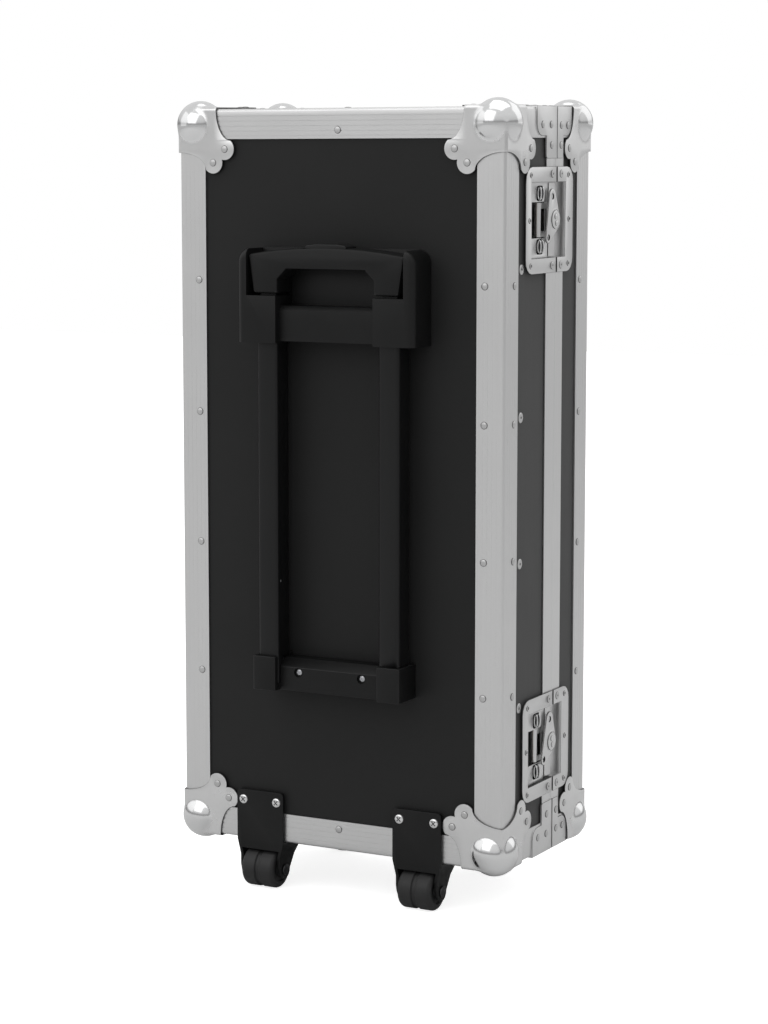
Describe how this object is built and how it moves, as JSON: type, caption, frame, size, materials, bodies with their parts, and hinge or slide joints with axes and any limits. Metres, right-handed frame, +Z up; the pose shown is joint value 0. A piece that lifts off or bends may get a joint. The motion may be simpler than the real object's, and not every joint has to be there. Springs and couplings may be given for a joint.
{
  "type": "trolley flight case for compact discs",
  "caption": "Tall black flight case for compact discs: aluminium edges, ball corners, recessed butterfly latches, side-hinged lid, telescopic trolley handle, wheels and feet.",
  "frame": {"origin": "on the floor, under the middle of the whole object's bounding box at rest", "axes": "+Z is up; the face that carries the trolley handle looks along -Y; the latches are on the +X side and the lid is the rear part"},
  "size_m": [0.381, 0.2434, 0.8035],
  "materials": {
    "laminate": "smooth matt black laminate on plywood",
    "board": "bare plywood board",
    "aluminium": "satin extruded aluminium",
    "zinc": "bright zinc-plated steel",
    "steel": "plain steel",
    "black_plastic": "moulded black plastic",
    "black_tube": "black coated tube",
    "wheel_rubber": "dark grey wheel tread"
  },
  "bodies": {
    "base": {"base_face_panel": "laminate", "base_walls": "laminate", "base_edge_left": "aluminium", "base_edge_right": "aluminium", "base_edge_top": "aluminium", "base_edge_bottom": "aluminium", "base_closure_frame": "aluminium", "base_closure_bar": "aluminium", "base_ball_corner_top_left": "zinc", "base_ball_corner_top_right": "zinc", "base_ball_corner_bottom_left": "zinc", "base_ball_corner_bottom_right": "zinc", "upper_latch_dish": "zinc", "upper_latch_spring": "steel", "lower_latch_dish": "zinc", "lower_latch_spring": "steel", "hinge_leaf_base": "zinc", "handle_housing": "black_plastic", "handle_lower_bracket": "black_plastic", "wheel_bracket_left": "black_plastic", "wheel_bracket_right": "black_plastic", "outer_tube_left": "black_tube", "outer_tube_right": "black_tube", "axle_left": "steel", "axle_right": "steel", "inner_floor": "board", "divider": "board"},
    "lid": {"lid_panel": "laminate", "lid_walls": "laminate", "lid_edge_left": "aluminium", "lid_edge_right": "aluminium", "lid_edge_top": "aluminium", "lid_edge_bottom": "aluminium", "lid_closure_frame": "aluminium", "lid_closure_bar": "aluminium", "lid_ball_corner_top_left": "zinc", "lid_ball_corner_top_right": "zinc", "lid_ball_corner_bottom_left": "zinc", "lid_ball_corner_bottom_right": "zinc", "upper_latch_keeper": "zinc", "lower_latch_keeper": "zinc", "hinge_leaf_lid": "zinc", "rear_foot_left": "black_plastic", "rear_foot_right": "black_plastic"},
    "handle": {"inner_tube_left": "black_tube", "inner_tube_right": "black_tube", "grip": "black_plastic"},
    "button": {"release_button": "black_plastic", "lock_yoke": "steel"},
    "lock_pin_left": {"lock_pin_left": "steel"},
    "lock_pin_right": {"lock_pin_right": "steel"},
    "wheel_left": {"wheel_left": "wheel_rubber"},
    "wheel_right": {"wheel_right": "wheel_rubber"},
    "upper_carrier": {"upper_latch_carrier": "zinc"},
    "upper_butterfly": {"upper_latch_butterfly": "zinc"},
    "upper_hook": {"upper_latch_hook": "zinc"},
    "lower_carrier": {"lower_latch_carrier": "zinc"},
    "lower_butterfly": {"lower_latch_butterfly": "zinc"},
    "lower_hook": {"lower_latch_hook": "zinc"}
  },
  "joints": [
    {"name": "lid_hinge", "type": "hinge", "parent": "base", "child": "lid", "pos_m": [-0.1855, 0.03125, 0.4225], "axis": [0, 0, 1], "range_deg": [0, 165]},
    {"name": "handle_slide", "type": "slide", "parent": "base", "child": "handle", "axis": [0, 0, 1], "range_m": [0, 0.35]},
    {"name": "button_press", "type": "slide", "parent": "handle", "child": "button", "axis": [0, 0, -1], "range_m": [0, 0.004], "stiffness_N_per_m": 1000, "springref_m": -0.003},
    {"name": "lock_pin_left_slide", "type": "slide", "parent": "handle", "child": "lock_pin_left", "axis": [-1, 0, 0], "range_m": [0, 0.002]},
    {"name": "lock_pin_right_slide", "type": "slide", "parent": "handle", "child": "lock_pin_right", "axis": [1, 0, 0], "range_m": [0, 0.002]},
    {"name": "wheel_left_roll", "type": "hinge", "parent": "base", "child": "wheel_left", "pos_m": [-0.09, -0.07725, 0.02], "axis": [1, 0, 0], "continuous": true},
    {"name": "wheel_right_roll", "type": "hinge", "parent": "base", "child": "wheel_right", "pos_m": [0.09, -0.07725, 0.02], "axis": [1, 0, 0], "continuous": true},
    {"name": "upper_latch_swing", "type": "hinge", "parent": "base", "child": "upper_carrier", "pos_m": [0.1755, 0.00225, 0.685], "axis": [0, 0, -1], "range_deg": [0, 40], "stiffness_Nm_per_rad": 0.1, "springref_deg": -17.19},
    {"name": "upper_butterfly_turn", "type": "hinge", "parent": "upper_carrier", "child": "upper_butterfly", "pos_m": [0.182, 0.02845, 0.685], "axis": [1, 0, 0], "range_deg": [0, 75]},
    {"name": "upper_hook_draw", "type": "slide", "parent": "upper_carrier", "child": "upper_hook", "axis": [0, 1, 0], "range_m": [0, 0.00365]},
    {"name": "lower_latch_swing", "type": "hinge", "parent": "base", "child": "lower_carrier", "pos_m": [0.1755, 0.00225, 0.16], "axis": [0, 0, -1], "range_deg": [0, 40], "stiffness_Nm_per_rad": 0.1, "springref_deg": -17.19},
    {"name": "lower_butterfly_turn", "type": "hinge", "parent": "lower_carrier", "child": "lower_butterfly", "pos_m": [0.182, 0.02845, 0.16], "axis": [1, 0, 0], "range_deg": [0, 75]},
    {"name": "lower_hook_draw", "type": "slide", "parent": "lower_carrier", "child": "lower_hook", "axis": [0, 1, 0], "range_m": [0, 0.00365]}
  ],
  "couplings": [
    {"joint": "lock_pin_left_slide", "follows": "button_press", "ratio": 0.5},
    {"joint": "lock_pin_right_slide", "follows": "button_press", "ratio": 0.5},
    {"joint": "upper_hook_draw", "follows": "upper_butterfly_turn", "m_per_rad": 0.002788},
    {"joint": "lower_hook_draw", "follows": "lower_butterfly_turn", "m_per_rad": 0.002788}
  ]
}
